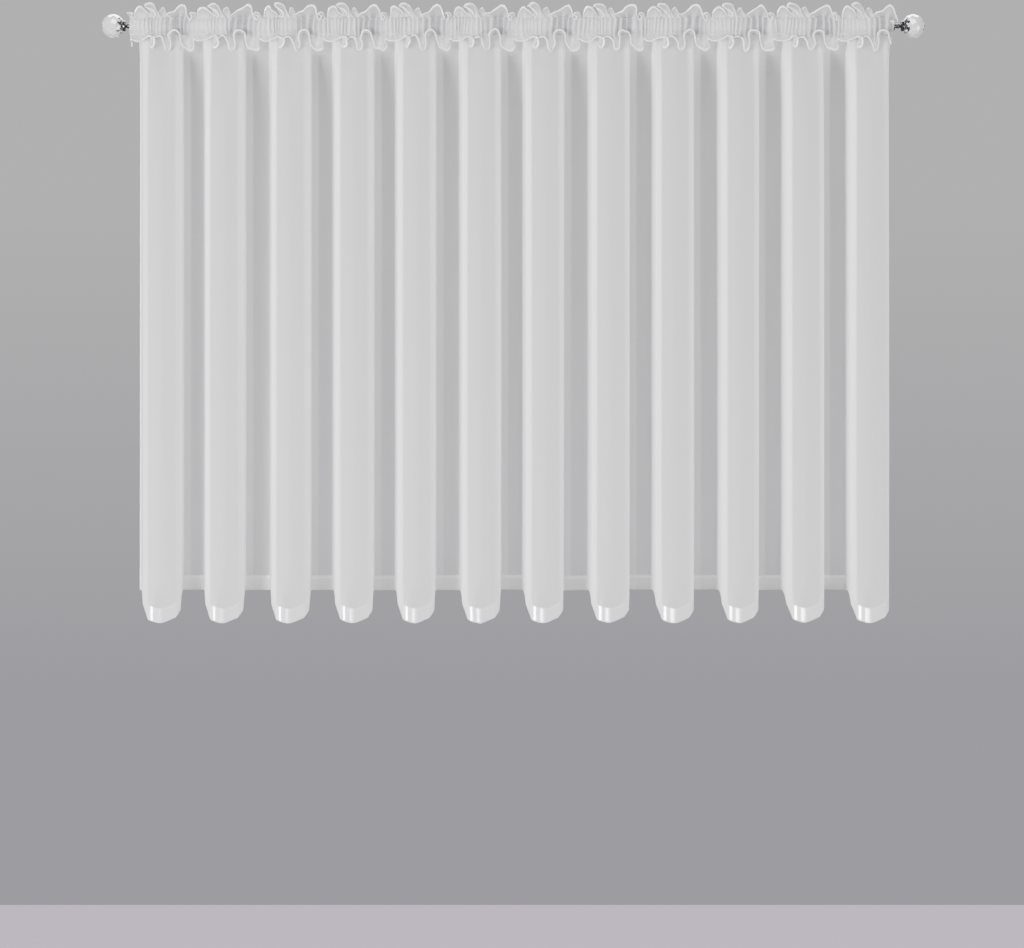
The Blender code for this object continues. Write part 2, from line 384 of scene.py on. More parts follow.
def sheet_object(
    name: str, points: np.ndarray, uv: np.ndarray, values: dict[str, np.ndarray]
) -> bpy.types.Object:
    """A sheet of quads through a grid of points.

    Args:
        name: The piece's name.
        points: Rows of points (rows, columns, 3); rows run down and columns along.
        uv: Where each point lies on the flat cloth, in metres (rows, columns, 2).
        values: Named numbers for each point (rows, columns).

    Returns:
        The new object, its faces towards the room.
    """
    index = np.arange(points.shape[0] * points.shape[1]).reshape(points.shape[:2])
    faces = np.stack([index[:-1, :-1], index[1:, :-1], index[1:, 1:], index[:-1, 1:]], axis=-1)
    return mesh_object(name, points.reshape(-1, 3), faces.reshape(-1, 4).tolist(), uv.reshape(-1, 2), values)


def slanted_cover(points: np.ndarray, facing: Any, slanted: Any, start: float) -> np.ndarray:
    """How much of what lies behind it a cloth hides: more where it is seen at a slant.

    Args:
        points: The cloth's points (rows, columns, 3).
        facing: The cover where the cloth faces the room, one for all or one for each point.
        slanted: The cover where it stands edge on to the room, one for all or one for each point.
        start: How far it must turn before its cover grows, as one less the cosine of its slant.

    Returns:
        The cover of each point (rows, columns), eased between the two values.
    """
    slant = 1.0 - np.abs(grid_normals(points)[..., 1])
    return facing + (slanted - facing) * smooth_step((slant - start) / SLANT_EASE)


def report(piece: bpy.types.Object) -> None:
    """Logs a piece's name and how many faces it has."""
    log.info("%s: %d faces", piece.name, len(piece.data.polygons))


class NodeTree:
    """A material's node tree, with short calls to fill it."""

    def __init__(self, name: str) -> None:
        """Makes an empty material.

        Args:
            name: The material's name.
        """
        self.material = bpy.data.materials.new(name)
        self.material.use_nodes = True
        self.nodes = self.material.node_tree.nodes
        self.links = self.material.node_tree.links
        self.nodes.clear()
        self.output = self.nodes.new("ShaderNodeOutputMaterial")

    def add(self, kind: str, inputs: dict[str, Any] | None = None, **settings: Any) -> bpy.types.Node:
        """Adds a node.

        Args:
            kind: The node's type, without its ShaderNode prefix.
            inputs: For each input's name, a value or the socket that feeds it.
            settings: The node's own properties.

        Returns:
            The new node.
        """
        node = self.nodes.new("ShaderNode" + kind)
        for key, value in settings.items():
            setattr(node, key, value)
        for key, value in (inputs or {}).items():
            target = node.inputs[key]
            if isinstance(value, bpy.types.NodeSocket):
                self.links.new(value, target)
            else:
                target.default_value = value
        return node

    def math(self, operation: str, first: Any, second: Any = 0.0) -> bpy.types.NodeSocket:
        """Adds one arithmetic step.

        Args:
            operation: The Math node's operation, such as "ADD".
            first: A value, or the socket that feeds it.
            second: The second value or socket.

        Returns:
            The socket with the result.
        """
        node = self.nodes.new("ShaderNodeMath")
        node.operation = operation
        for target, value in zip(node.inputs, (first, second)):
            if isinstance(value, bpy.types.NodeSocket):
                self.links.new(value, target)
            else:
                target.default_value = value
        return node.outputs[0]

    def ramp(self, factor: bpy.types.NodeSocket, low: float, high: float) -> bpy.types.NodeSocket:
        """Takes a factor of 0 to 1 to the range low to high."""
        node = self.add("MapRange", {"Value": factor, "To Min": low, "To Max": high})
        return node.outputs["Result"]

    def blend(
        self, factor: bpy.types.NodeSocket, first: Any, second: Sequence[float]
    ) -> bpy.types.NodeSocket:
        """Goes from one colour to a second by a factor.

        Args:
            factor: 0 for the first colour and 1 for the second.
            first: A colour, or the socket of one.
            second: A colour.

        Returns:
            The socket with the mixed colour.
        """
        node = self.add("Mix", data_type="RGBA")
        self.links.new(factor, node.inputs["Factor"])
        if isinstance(first, bpy.types.NodeSocket):
            self.links.new(first, node.inputs["A"])
        else:
            node.inputs["A"].default_value = (*first, 1.0)
        node.inputs["B"].default_value = (*second, 1.0)
        return node.outputs["Result"]

    def finish(self, shader: bpy.types.Node) -> bpy.types.Material:
        """Joins the shader to the output and returns the material."""
        self.links.new(shader.outputs[0], self.output.inputs["Surface"])
        return self.material


@dataclass(frozen=True)
class WovenFinish:
    """A plain-woven cloth: threads as fine relief, slubs as uneven cover, a silky sheen, painted shade and
    painted light.
    """

    name: str
    dark: tuple[float, float, float]
    light: tuple[float, float, float]
    thread_pitch: float
    roughness: float
    sheen: float
    slub_cover: float
    relief: float
    # painted shade: the grey that folds, recesses and pleat valleys are darkened towards
    shaded: tuple[float, float, float] = (0.46, 0.46, 0.47)
    # painted light: the near-white that satin parts are lifted towards, for highlight streaks and the lit hem
    # and rolled edges
    painted_light_colour: tuple[float, float, float] = (0.95, 0.95, 0.95)
    satin_roughness: float = 0.14
    satin_gloss: float = 1.0
    satin_ior: float = 2.2
    warp_slubs: tuple[float, float] = (260.0, 2.2)
    weft_slubs: tuple[float, float] = (1.6, 300.0)

    def threads(self, tree: NodeTree, cloth: bpy.types.NodeSocket, direction: str) -> bpy.types.NodeSocket:
        """One set of threads: a sine across the cloth, wavered by noise.

        Args:
            tree: The tree to add to.
            cloth: The cloth's own coordinates, in metres.
            direction: The axis that the threads repeat along, "X" across the cloth or "Y" down it.

        Returns:
            A factor of 0 between threads to 1 on top of one.
        """
        scale = math.tau / (20.0 * self.thread_pitch)
        inputs = {"Vector": cloth, "Scale": scale, "Distortion": 0.6, "Detail": 1.0}
        wave = tree.add("TexWave", inputs, wave_type="BANDS", bands_direction=direction, wave_profile="SIN")
        return wave.outputs["Fac"]

    def slubs(
        self, tree: NodeTree, cloth: bpy.types.NodeSocket, across: float, down: float
    ) -> bpy.types.NodeSocket:
        """Long uneven streaks: noise stretched along one set of threads.

        Args:
            tree: The tree to add to.
            cloth: The cloth's own coordinates, in metres.
            across: How often the noise changes across the cloth, in changes per metre.
            down: How often it changes down the cloth.

        Returns:
            A factor of 0 to 1.
        """
        stretched = tree.add("Mapping", {"Vector": cloth, "Scale": (across, down, 1.0)})
        inputs = {"Vector": stretched.outputs[0], "Scale": 1.0, "Detail": 3.0, "Roughness": 0.6}
        return tree.add("TexNoise", inputs).outputs["Fac"]

    def build(self) -> bpy.types.Material:
        """Builds the node material from the sheet's coordinates and its cover, painted shade, and satin and
        painted light values.

        Returns:
            The material.
        """
        tree = NodeTree(self.name)
        cloth = tree.add("UVMap", uv_map="cloth").outputs["UV"]
        cover = tree.add("Attribute", attribute_name="cover").outputs["Fac"]
        satin_and_painted_light = tree.add("Attribute", attribute_name="satin_and_painted_light").outputs["Fac"]
        warp = self.threads(tree, cloth, "X")
        weft = self.threads(tree, cloth, "Y")
        down = self.slubs(tree, cloth, *self.warp_slubs)
        across = self.slubs(tree, cloth, *self.weft_slubs)
        streaks = tree.math("ADD", tree.math("MULTIPLY", down, 0.6), tree.math("MULTIPLY", across, 0.4))
        uneven = tree.ramp(streaks, -self.slub_cover, self.slub_cover)
        weave = tree.math("ADD", tree.math("MAXIMUM", warp, weft), tree.math("MULTIPLY", streaks, 0.8))
        # Painted shade: the woven colour is greyed towards the shaded colour wherever the sheet's values ask
        # for it.
        painted_shade = tree.add("Attribute", attribute_name="painted_shade").outputs["Fac"]
        colour = tree.blend(painted_shade, tree.blend(streaks, self.dark, self.light), self.shaded)
        # Satin parts get real gloss and a weaker bump, and their colour is lifted towards white as painted
        # light.
        strength = tree.ramp(satin_and_painted_light, 0.35, 0.05)
        bump = tree.add("Bump", {"Height": weave, "Strength": strength, "Distance": self.relief})
        shader = tree.add(
            "BsdfPrincipled",
            {
                "Base Color": tree.blend(satin_and_painted_light, colour, self.painted_light_colour),
                "Alpha": tree.math("ADD", cover, uneven),
                "Normal": bump.outputs[0],
                "Roughness": tree.ramp(satin_and_painted_light, self.roughness, self.satin_roughness),
                "Specular IOR Level": tree.ramp(satin_and_painted_light, 0.35, self.satin_gloss),
                "IOR": tree.ramp(satin_and_painted_light, 1.5, self.satin_ior),
                "Sheen Weight": self.sheen,
                "Sheen Roughness": 0.35,
            },
        )
        return tree.finish(shader)


@dataclass(frozen=True)
class MetalFinish:
    """A metal with fine drawn lines round or along it and small changes in gloss."""

    name: str
    dark: tuple[float, float, float]
    light: tuple[float, float, float]
    low_roughness: float
    high_roughness: float
    stretch: tuple[float, float, float]

    def build(self) -> bpy.types.Material:
        """Builds the node material.

        Returns:
            The material.
        """
        tree = NodeTree(self.name)
        place = tree.add("TexCoord").outputs["Object"]
        lines = tree.add("Mapping", {"Vector": place, "Scale": self.stretch})
        inputs = {"Vector": lines.outputs[0], "Scale": 1.0, "Detail": 4.0, "Roughness": 0.65}
        drawn = tree.add("TexNoise", inputs)
        cloudy = tree.add("TexNoise", {"Vector": place, "Scale": 60.0, "Detail": 3.0})
        both = tree.math("MULTIPLY", drawn.outputs["Fac"], cloudy.outputs["Fac"])
        bump = tree.add("Bump", {"Height": drawn.outputs["Fac"], "Strength": 0.12, "Distance": 0.0001})
        shader = tree.add(
            "BsdfPrincipled",
            {
                "Base Color": tree.blend(cloudy.outputs["Fac"], self.dark, self.light),
                "Metallic": 1.0,
                "Roughness": tree.ramp(both, self.low_roughness, self.high_roughness),
                "Normal": bump.outputs[0],
            },
        )
        return tree.finish(shader)


@dataclass(frozen=True)
class GlassFinish:
    """Cut glass, bright inside; dark facets near the neck are its painted reflection, and a few are at the
    far end.
    """

    name: str
    clear: tuple[float, float, float]
    milky: tuple[float, float, float]
    dark: tuple[float, float, float]
    ior: float
    clearness: float
    glitter: float
    coat: float
    neck_side: tuple[float, float] = (0.9475, 0.9610)
    far_side: tuple[float, float] = (0.9960, 0.9900)
    facet_pitch: float = 0.0055
    neck_chance: float = 0.95
    far_chance: float = 0.45

    def reach(
        self, tree: NodeTree, out: bpy.types.NodeSocket, ends: tuple[float, float]
    ) -> bpy.types.NodeSocket:
        """The share of facets painted dark: 1 at the first distance out along the rod, down to 0 at the
        second.
        """
        share = tree.add("MapRange", {"Value": out, "From Min": ends[1], "From Max": ends[0]})
        return share.outputs["Result"]

    def build(self) -> bpy.types.Material:
        """Builds the node material.

        Returns:
            The material.
        """
        tree = NodeTree(self.name)
        place = tree.add("TexCoord").outputs["Object"]
        dust = tree.add("TexNoise", {"Vector": place, "Scale": 220.0, "Detail": 2.0})
        cells = tree.add("TexVoronoi", {"Vector": place, "Scale": 1.0 / self.facet_pitch})
        chance = tree.add("SeparateXYZ", {"Vector": cells.outputs["Color"]}).outputs["X"]
        out = tree.math("ABSOLUTE", tree.add("SeparateXYZ", {"Vector": place}).outputs["X"])
        # Painted reflection: facets near the neck are dark as if they mirrored the black neck; a few more are
        # dark at the far end.
        near = tree.math("MULTIPLY", self.reach(tree, out, self.neck_side), self.neck_chance)
        far = tree.math("MULTIPLY", self.reach(tree, out, self.far_side), self.far_chance)
        dark = tree.math("LESS_THAN", chance, tree.math("MAXIMUM", near, far))
        bright = tree.blend(dust.outputs["Fac"], self.clear, self.milky)
        shader = tree.add(
            "BsdfPrincipled",
            {
                "Base Color": tree.blend(dark, bright, self.dark),
                "Roughness": tree.ramp(dust.outputs["Fac"], 0.0, 0.03),
                "IOR": self.ior,
                "Transmission Weight": tree.ramp(dark, self.clearness, 0.1),
                "Specular IOR Level": 0.8,
                "Sheen Weight": self.glitter,
                "Sheen Roughness": 0.25,
                "Coat Weight": self.coat,
            },
        )
        return tree.finish(shader)


@dataclass(frozen=True)
class GlowFinish:
    """A plain surface of the stage that glows softly, from one colour to another along an axis."""

    name: str
    axis: str
    start: float
    stop: float
    first: tuple[float, float, float]
    last: tuple[float, float, float]

    def build(self) -> bpy.types.Material:
        """Builds the node material.

        Returns:
            The material.
        """
        tree = NodeTree(self.name)
        place = tree.add("TexCoord").outputs["Object"]
        along = tree.add("SeparateXYZ", {"Vector": place}).outputs[self.axis]
        share = tree.add("MapRange", {"Value": along, "From Min": self.start, "From Max": self.stop})
        colour = tree.blend(share.outputs["Result"], self.first, self.last)
        inputs = {"Base Color": (0.02, 0.02, 0.02, 1.0), "Roughness": 0.95, "Emission Color": colour}
        return tree.finish(tree.add("BsdfPrincipled", {**inputs, "Emission Strength": 1.0}))


VOILE = WovenFinish("white_voile", (0.86, 0.86, 0.87), (0.94, 0.94, 0.95), 0.0011, 0.55, 0.85, 0.03, 0.00025)
TAPE_WEAVE = WovenFinish(
    "woven_tape", (0.60, 0.59, 0.70), (0.72, 0.71, 0.82), 0.0016, 0.7, 0.15, 0.02, 0.0004
)
# The frill's painted shade colour is darker and a little lilac.
FRILL_VOILE = replace(VOILE, name="frill_voile", sheen=0.35, shaded=(0.22, 0.215, 0.24))
THREAD = WovenFinish("sewing_thread", (0.84, 0.84, 0.85), (0.92, 0.92, 0.93), 0.0004, 0.5, 0.3, 0.0, 0.0001)
NICKEL = MetalFinish("satin_nickel", (0.50, 0.50, 0.46), (0.62, 0.62, 0.57), 0.22, 0.42, (6.0, 900.0, 900.0))
BLACK_NICKEL = MetalFinish(
    "black_nickel", (0.10, 0.10, 0.10), (0.17, 0.17, 0.17), 0.05, 0.22, (900.0, 60.0, 60.0)
)
# Its dark colour is for the dark facets, near the neck a painted reflection of it.
CRYSTAL = GlassFinish(
    "cut_crystal", (0.94, 0.93, 0.99), (0.99, 0.99, 1.0), (0.01, 0.01, 0.015), 1.52, 0.55, 1.0, 1.0
)


@dataclass
class PlanLine:
    """The panel's plan: straight stretches of cloth with rounded corners, walked in even steps."""

    folds: tuple[Fold, ...] = FOLDS
    side_flat: float = 0.0015
    # The last number of each stretch is how much painted shade it gets.
    left_wall: Stretch = Stretch(0.0850, 85.0, 0.005, 0.00)
    brow: Stretch = Stretch(0.0270, 62.0, 0.012, 0.00)
    shoulder: Stretch = Stretch(0.0260, 10.0, 0.008, 0.74)
    front: Stretch = Stretch(0.0300, 0.0, 0.030, 0.80)
    slope: Stretch = Stretch(0.0315, -16.0, 0.026, 0.74)
    brink: Stretch = Stretch(0.0165, -48.0, 0.010, 0.02)
    right_wall: Stretch = Stretch(0.0920, -88.0, 0.008, 0.05)
    ledge: Stretch = Stretch(0.0170, -10.0, 0.006, 0.45)
    recess: Stretch = Stretch(0.0300, 0.0, 0.006, 0.98)
    step: float = 0.0005
    straight_spacing: float = 0.0085
    corner_spacing: float = 0.0030

    def walk(self, stretches: list[Stretch]) -> Walk:
        """Walks the stretches: each corner eases the heading and the shade from one to the next.

        Args:
            stretches: The stretches in order.

        Returns:
            The walked plan.
        """
        s = np.arange(0.0, sum(stretch.length for stretch in stretches) + self.step, self.step)
        turn = np.full_like(s, math.radians(stretches[0].angle))
        shade = np.full_like(s, stretches[0].shade)
        corner = 0.0
        for before, after in zip(stretches, stretches[1:]):
            corner += before.length
            past = smooth_step((s - corner) / after.corner + 0.5)
            turn += math.radians(after.angle - before.angle) * past
            shade += (after.shade - before.shade) * past
        half = 0.5 * self.step
        x = np.concatenate([[0.0], np.cumsum((np.cos(turn[1:]) + np.cos(turn[:-1])) * half)])
        forward = np.concatenate([[0.0], np.cumsum((np.sin(turn[1:]) + np.sin(turn[:-1])) * half)])
        return Walk(s, x, forward, shade)

    def stretches(self) -> list[Stretch]:
        """All the stretches, with the fronts and recesses sized to give the widths seen from the room.

        Returns:
            The stretches from the left side to the right one. The right walls are as long as it takes to
            come back to the recess, and each front fills what its fold's width leaves.
        """
        rise = [self.left_wall, self.brow, self.shoulder]
        fall = [self.slope, self.brink, self.right_wall]
        tried = self.walk([self.recess, *rise, self.front, *fall, self.ledge, self.recess])
        way_back = math.radians(-self.right_wall.angle)
        longer = tried.forward[-1] / math.sin(way_back)
        fall[-1] = self.right_wall._replace(length=self.right_wall.length + longer)
        ledge_width = self.ledge.length * math.cos(math.radians(self.ledge.angle))
        whole = tried.x[-1] + longer * math.cos(way_back)
        spare = whole - 2.0 * self.recess.length - self.front.length - ledge_width
        side = self.recess._replace(length=self.side_flat, shade=0.0)
        made = [side]
        for fold in self.folds:
            front = self.front._replace(length=fold.front - spare)
            recess = self.recess._replace(length=fold.recess - ledge_width)
            made += [*rise, front, *fall, self.ledge, recess]
        return [*made[:-2], side]

    def columns(self, stretches: list[Stretch]) -> np.ndarray:
        """Where the mesh has its columns: close together in the corners.

        Args:
            stretches: The stretches of the plan.

        Returns:
            Distances along the cloth, in metres.
        """
        length = sum(stretch.length for stretch in stretches)
        fine = np.arange(0.0, length, self.step)
        corners = np.cumsum([stretch.length for stretch in stretches])[:-1]
        reach = 0.6 * np.array([stretch.corner for stretch in stretches[1:]])
        near = np.any(np.abs(fine[:, None] - corners[None, :]) < reach[None, :], axis=1)
        density = np.where(near, 1.0 / self.corner_spacing, 1.0 / self.straight_spacing)
        count = np.concatenate([[0.0], np.cumsum(density) * self.step])
        wanted = np.linspace(0.0, count[-1], int(round(count[-1])) + 1)
        return np.interp(wanted, count, np.append(fine, length))

    def left_sides(self) -> np.ndarray:
        """The left side of each fold.

        Returns:
            The x of each, and one more that lies a mean fold's width past the last.
        """
        pitch = np.array([fold.front + fold.recess for fold in self.folds])
        width = pitch.sum()
        sides = np.concatenate([[0.0], np.cumsum(pitch)]) - 0.5 * width + CLOTH_SHIFT_X
        sides[-1] = sides[-2] + pitch[:-1].mean()
        return sides


@dataclass
class VoilePanel:
    """The hung panel: open in deep folds below the heading, with a doubled hem and rolled sides."""

    plan: PlanLine
    front_hem_z: float = -1.443
    hem_rise: float = 0.077
    left_hem_power: float = 3.0
    right_hem_power: float = 2.4
    full_climb: float = 9.0
    hem_height: float = 0.034
    hem_gap: float = 0.0012
    roll_radius: float = 0.0009
    ease: float = 0.016
    pleats_per_fold: int = 5
    pleat_depth: float = 0.0030
    drift: float = 0.0014
    flute_place: float = 0.033
    flute_width: float = 0.016
    hem_satin_and_painted_light: float = 0.15
    flute_depth: float = 0.0090
    flat_width: float = 4.00
    flat_length: float = 1.51
    cover: float = 0.64
    wall_cover: float = 0.97
    hem_cover: float = 0.86
    front_hem_cover: float = 0.72
    shade_fade: float = 0.35
    heading_shade: float = 0.85
    heading_cover: float = 0.90
    hem_rows: int = 9
    hem_wave: float = 0.0015
    hem_wave_pitch: float = 0.11
    flute_shine: float = 1.8
    hem_shade: float = 0.6
    front_hem_shade: float = 0.35
    points: np.ndarray = field(init=False)
    painted_shade: np.ndarray = field(init=False)
    satin_and_painted_light: np.ndarray = field(init=False)
    share: np.ndarray = field(init=False)

    def reach(self, z: np.ndarray) -> tuple[np.ndarray, np.ndarray]:
        """How far forward and back the folds reach at a height: the table's values, eased between.

        Args:
            z: Heights in metres.

        Returns:
            For each height, the y of a front and the y of a recess.
        """
        fine = np.arange(-1.52, UPPER_SEAM_Z + 0.001, 0.001)
        table = sorted(PANEL_ROWS)
        span = int(self.ease / 0.001)
        weights = np.hanning(span + 2)[1:-1]
        weights /= weights.sum()
        results = []
        for name in ("front", "back"):
            values = np.interp(fine, [row.z for row in table], [getattr(row, name) for row in table])
            padded = np.pad(values, span // 2, mode="edge")
            soft = np.convolve(padded, weights, mode="same")[span // 2 : span // 2 + len(values)]
            below = smooth_step((LOWER_SEAM_Z - fine) / 0.01)
            results.append(np.interp(z, fine, values + (soft - values) * below))
        return results[0], results[1]

    def heights(self) -> np.ndarray:
        """Where the face has its rows: close together under the heading and above the hem.

        Returns:
            Shares of the way from the seam down to the hem's top.
        """
        bands = [np.linspace(band.start, band.stop, band.rows, endpoint=False) for band in ROW_BANDS]
        low = np.linspace(*LOW_BAND)
        downs = np.concatenate([*bands, low, [HEM_TOP_DOWN]])
        return downs / downs[-1]

    def surface(self, s: np.ndarray) -> np.ndarray:
        """The face of the cloth towards the room. It also sets the face's painted shade, its satin and
        painted light, and its share values.

        Args:
            s: Distances along the cloth for the columns.

        Returns:
            Points (rows, columns, 3) from the seam down to the hem's fold.
        """
        walked = self.plan.walk(self.plan.stretches())
        x = np.interp(s, walked.s, walked.x - 0.5 * walked.x[-1] + CLOTH_SHIFT_X)
        share = np.interp(s, walked.s, np.clip(walked.forward / walked.forward.max(), 0.0, 1.0))
        climb = np.gradient(share, s) / self.full_climb
        rng = np.random.default_rng(SEED)
        hem_z = self.hem_edge(share, climb) + self.hem_wave * slow_noise(rng, s, self.hem_wave_pitch)
        top = hem_z + self.hem_height
        z = UPPER_SEAM_Z + (top[None, :] - UPPER_SEAM_Z) * self.heights()[:, None]
        hem = np.linspace(0.0, 1.0, self.hem_rows)[1:, None]
        z = np.concatenate([z, top[None, :] - self.hem_height * hem])
        front, back = self.reach(z)
        low = smooth_step((-z - 1.0) / 0.45)
        near_hem = slow_noise(rng, s, 0.09) * low
        further_up = slow_noise(rng, s, 0.12) * smooth_step(-z / 0.8)
        wander = self.drift * (near_hem + further_up)
        swell = self.swell(x)
        y = back + share * (front - back) + self.gathers(s, z, share)
        y -= self.flute_depth * swell * smooth_step((self.front_hem_z + 0.110 - z) / 0.080)
        # Satin and painted light: the hem band, most along its stitched top and in the recesses, and one
        # flute on each front, where a painted highlight streak stands beside the real gloss.
        band = np.full((self.hem_rows, 1), self.hem_satin_and_painted_light)
        band[:2, 0] = 1.0, 0.5
        self.satin_and_painted_light = np.clip(band * (1.0 - share) ** 2 + smooth_step(self.flute_shine * swell), 0.0, 1.0)
        self.share = share
        # Painted shade: each stretch's shade, fading a little going down, and a painted shade over the
        # gathered heading.
        below_heading = smooth_step((-z - 0.025) / 0.02)
        depth = below_heading * (1.0 - self.shade_fade * smooth_step(-z / 1.4))
        gathered = 1.0 - below_heading
        self.painted_shade = np.interp(s, walked.s, walked.shade) * depth + self.heading_shade * gathered
        return np.stack([x[None, :] + wander, y + 0.6 * wander, z], axis=-1)

    def hem_edge(self, share: np.ndarray, climb: np.ndarray) -> np.ndarray:
        """The height of the hem's fold for each column.

        Args:
            share: How far forward each lies, from 0 in a recess to 1 on a front.
            climb: How fast it comes forward, 1 up a left wall and -1 back down a right one.

        Returns:
            Heights that rise from the fronts to the recesses by a power of the share, one for the left
            walls and one for the right ones.
        """
        leftward = smooth_step(0.5 + climb)
        power = self.right_hem_power + (self.left_hem_power - self.right_hem_power) * leftward
        return self.front_hem_z + self.hem_rise * (1.0 - share**power)

    def swell(self, x: np.ndarray) -> np.ndarray:
        """How far the stiff hem swells forward, in one soft upright flute on each front.

        Args:
            x: Distances along the rod, in metres.

        Returns:
            A share for each: a bell curve of its distance from the flute's middle.
        """
        sides = self.plan.left_sides()
        place = x - sides[np.clip(np.searchsorted(sides, x) - 1, 0, len(self.plan.folds) - 1)]
        return np.exp(-(((place - self.flute_place) / self.flute_width) ** 2))

    def gathers(self, s: np.ndarray, z: np.ndarray, share: np.ndarray) -> np.ndarray:
        """Small pleats under the seam: a sine of the cloth's width that dies out going down.

        Args:
            s: Each column's distance along the cloth.
            z: The height of each point (rows, columns).
            share: How far forward each column lies, from 0 to 1.

        Returns:
            How far each point moves in y.
        """
        rng = np.random.default_rng(SEED + 1)
        pitch = self.flat_width / len(FOLDS) / self.pleats_per_fold
        phase = math.tau * s / pitch + 1.3 * slow_noise(rng, s, 0.2)
        height = self.pleat_depth * (0.7 + 0.5 * slow_noise(rng, s, 0.07))
        fade = smooth_step((LOWER_SEAM_Z - z) / 0.012) * (1.0 - smooth_step((-z - 0.045) / 0.20))
        return height * np.sin(phase) * fade * (0.4 + 0.6 * share)

    def build(self) -> bpy.types.Object:
        """Builds the panel as one grid: down its face, round the hem's fold, up behind and into a roll.

        Returns:
            The panel, with its hem.
        """
        s = self.plan.columns(self.plan.stretches())
        face = self.surface(s)
        self.points = face
        behind = (face[-self.hem_rows :] - grid_normals(face)[-self.hem_rows :] * self.hem_gap)[::-1]
        turn = np.linspace(0.0, math.pi, 6)[1:-1, None, None]
        middle, half = 0.5 * (face[-1] + behind[0]), 0.5 * (face[-1] - behind[0])
        bend = middle + half * np.cos(turn) - np.array([0.0, 0.0, 0.5 * self.hem_gap]) * np.sin(turn)
        roll = rolled_edge(behind[-1], behind[-2] - behind[-1], self.roll_radius, PANEL_ROLL_TURNS)
        points = np.concatenate([face, bend, behind[1:], roll])
        cover = slanted_cover(points, self.cover, self.wall_cover, 0.10)
        satin_and_painted_light = np.zeros_like(cover)
        painted_shade = np.pad(self.painted_shade, ((0, len(points) - len(face)), (0, 0)), "edge")
        hem = slice(len(face) - self.hem_rows, len(points) - len(roll))
        gathered = smooth_step((points[..., 2] - LOWER_SEAM_Z) / 0.012)
        cover += (self.heading_cover - cover) * gathered
        # The hem's bend and its back get the same satin and painted light as its face.
        bend_satin_and_painted_light = np.tile(self.satin_and_painted_light[-1:], (len(bend), 1))
        satin_and_painted_light[hem] = np.concatenate([self.satin_and_painted_light, bend_satin_and_painted_light, self.satin_and_painted_light[::-1][1:]])
        doubled = self.hem_cover + (self.front_hem_cover - self.hem_cover) * self.share
        cover[hem] = np.maximum(cover[hem], doubled + (ROLL_COVER - doubled) * satin_and_painted_light[hem])
        cover[-len(roll) :] = ROLL_COVER
        # The doubled hem keeps less of the painted shade, least in the recesses.
        painted_shade[hem] *= self.hem_shade + self.front_hem_shade * self.share
        values = {"cover": cover, "satin_and_painted_light": satin_and_painted_light, "painted_shade": painted_shade}
        points, s, values = self.add_side_rolls(points, s, values)
        steps = np.linalg.norm(np.diff(points, axis=0), axis=-1).mean(axis=1)
        down = np.concatenate([[0.0], np.cumsum(steps)])
        uv = np.stack(np.broadcast_arrays(s[None, :], -down[:, None]), axis=-1)
        return sheet_object("voile_panel_cloth", points, uv, values)

    def add_side_rolls(
        self, points: np.ndarray, s: np.ndarray, values: dict[str, np.ndarray]
    ) -> tuple[np.ndarray, np.ndarray, dict[str, np.ndarray]]:
        """Adds the narrow rolled side hems as extra columns at both ends.

        Args:
            points: The grid (rows, columns, 3).
            s: Each column's distance along the cloth.
            values: The grid's named numbers.

        Returns:
            The same three with the rolls' columns added.
        """
        turns = PANEL_ROLL_TURNS
        left = rolled_edge(points[:, 0], points[:, 1] - points[:, 0], self.roll_radius, turns)
        right = rolled_edge(points[:, -1], points[:, -2] - points[:, -1], self.roll_radius, turns)
        points = np.concatenate([left[::-1].swapaxes(0, 1), points, right.swapaxes(0, 1)], axis=1)
        added = ((0, 0), (len(turns), len(turns)))
        wider = {key: np.pad(numbers, added, "edge") for key, numbers in values.items()}
        wider["cover"][:, : len(turns)] = ROLL_COVER
        wider["cover"][:, -len(turns) :] = ROLL_COVER
        extra = turns * self.roll_radius
        return points, np.concatenate([s[0] - extra[::-1], s, s[-1] + extra]), wider

    def hem_line(self) -> tuple[np.ndarray, np.ndarray]:
        """Points and room-side normals along the hem's stitching, just below the hem's top."""
        row = len(self.points) - self.hem_rows + 1
        return self.points[row], grid_normals(self.points)[row]


